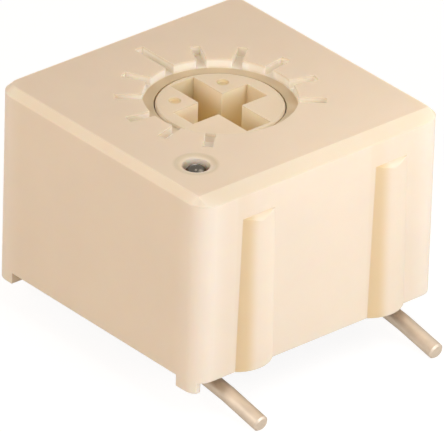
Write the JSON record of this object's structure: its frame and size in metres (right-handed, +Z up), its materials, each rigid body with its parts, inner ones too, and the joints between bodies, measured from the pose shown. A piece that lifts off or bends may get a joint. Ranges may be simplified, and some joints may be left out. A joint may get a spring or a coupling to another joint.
{
  "type": "trimmer potentiometer",
  "caption": "Square cream moulded trimmer potentiometer: cross-slot rotor in a marked dial, ribbed front wall, corner feet, vent and round wire leads sloping out under the walls.",
  "frame": {"origin": "under the rotor's axis, at the level of the lowest points of the three lead tips", "axes": "+Z up out of the dial along the rotor's axis; -Y out of the ribbed front wall, where the two end leads leave; +X to the right seen from the front"},
  "size_m": [0.007, 0.0092, 0.0055],
  "materials": {
    "housing_plastic": "fine moulded matt, cream",
    "rotor_plastic": "fine moulded matt, cream",
    "seal_rubber": "matt",
    "spring_alloy": "bright rolled strip",
    "alumina": "fired, matt white",
    "cermet_ink": "fired resistor ink",
    "silver_film": "fired silver film",
    "tinned_copper": "drawn wire, thin tin over copper",
    "solder": "bright, slightly grainy",
    "epoxy": "poured, semi-gloss",
    "ball_steel": "polished"
  },
  "bodies": {
    "housing": {"housing": "housing_plastic", "substrate": "alumina", "resistive_track": "cermet_ink", "collector_film": "silver_film", "end_film_left": "silver_film", "end_film_right": "silver_film", "end_lead_left": "tinned_copper", "end_lead_right": "tinned_copper", "wiper_lead": "tinned_copper", "solder_left": "solder", "solder_right": "solder", "solder_wiper": "solder", "potting": "epoxy", "vent_ball": "ball_steel"},
    "rotor": {"rotor": "rotor_plastic", "seal_ring": "seal_rubber", "wiper": "spring_alloy"}
  },
  "joints": [
    {"name": "rotor_turn", "type": "hinge", "parent": "housing", "child": "rotor", "pos_m": [0, 0, 0.0045], "axis": [0, 0, 1], "range_deg": [-130, 130]}
  ]
}
